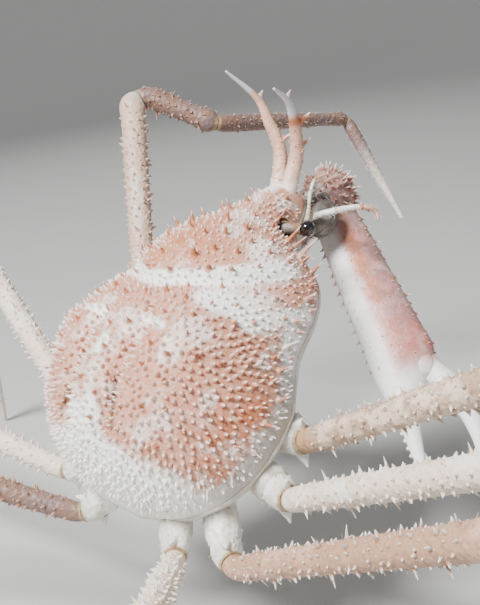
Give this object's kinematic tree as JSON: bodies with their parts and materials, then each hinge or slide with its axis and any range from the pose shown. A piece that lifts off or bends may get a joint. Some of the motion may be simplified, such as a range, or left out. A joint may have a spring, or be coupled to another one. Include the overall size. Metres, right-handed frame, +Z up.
{
  "type": "spiny spider crab model",
  "caption": "Still life-size model of a spiny, long-legged spider crab with two forked horns, standing nose up with one front leg raised",
  "frame": {"origin": "on the floor, under the middle of the bounding box", "axes": "+X to the nose, +Y to the animal's left, +Z up"},
  "size_m": [0.3542, 0.5464, 0.1913],
  "materials": {
    "shell": "dull, granular",
    "belly": "dull",
    "horn": "satin",
    "eye": "glossy",
    "mouthpart": "satin",
    "leg": "dull, granular",
    "claw": "satin",
    "feeler": "satin"
  },
  "bodies": {
    "root": {"carapace": "shell", "left_antenna": "feeler", "left_antennule": "feeler", "left_claw_carpus": "claw", "left_claw_finger": "claw", "left_claw_merus": "claw", "left_claw_palm": "claw", "left_eye": "eye", "left_horn": "horn", "left_leg_1_base": "leg", "left_leg_1_carpus": "leg", "left_leg_1_dactylus": "leg", "left_leg_1_merus": "leg", "left_leg_1_propodus": "leg", "left_leg_2_base": "leg", "left_leg_2_carpus": "leg", "left_leg_2_dactylus": "leg", "left_leg_2_merus": "leg", "left_leg_2_propodus": "leg", "left_leg_3_base": "leg", "left_leg_3_carpus": "leg", "left_leg_3_dactylus": "leg", "left_leg_3_merus": "leg", "left_leg_3_propodus": "leg", "left_leg_4_base": "leg", "left_leg_4_carpus": "leg", "left_leg_4_dactylus": "leg", "left_leg_4_merus": "leg", "left_leg_4_propodus": "leg", "left_mouthpart": "mouthpart", "right_antenna": "feeler", "right_antennule": "feeler", "right_claw_carpus": "claw", "right_claw_finger": "claw", "right_claw_merus": "claw", "right_claw_palm": "claw", "right_eye": "eye", "right_horn": "horn", "right_leg_1_base": "leg", "right_leg_1_carpus": "leg", "right_leg_1_dactylus": "leg", "right_leg_1_merus": "leg", "right_leg_1_propodus": "leg", "right_leg_2_base": "leg", "right_leg_2_carpus": "leg", "right_leg_2_dactylus": "leg", "right_leg_2_merus": "leg", "right_leg_2_propodus": "leg", "right_leg_3_base": "leg", "right_leg_3_carpus": "leg", "right_leg_3_dactylus": "leg", "right_leg_3_merus": "leg", "right_leg_3_propodus": "leg", "right_leg_4_base": "leg", "right_leg_4_carpus": "leg", "right_leg_4_dactylus": "leg", "right_leg_4_merus": "leg", "right_leg_4_propodus": "leg", "right_mouthpart": "mouthpart", "underside": "belly"}
  },
  "joints": []
}
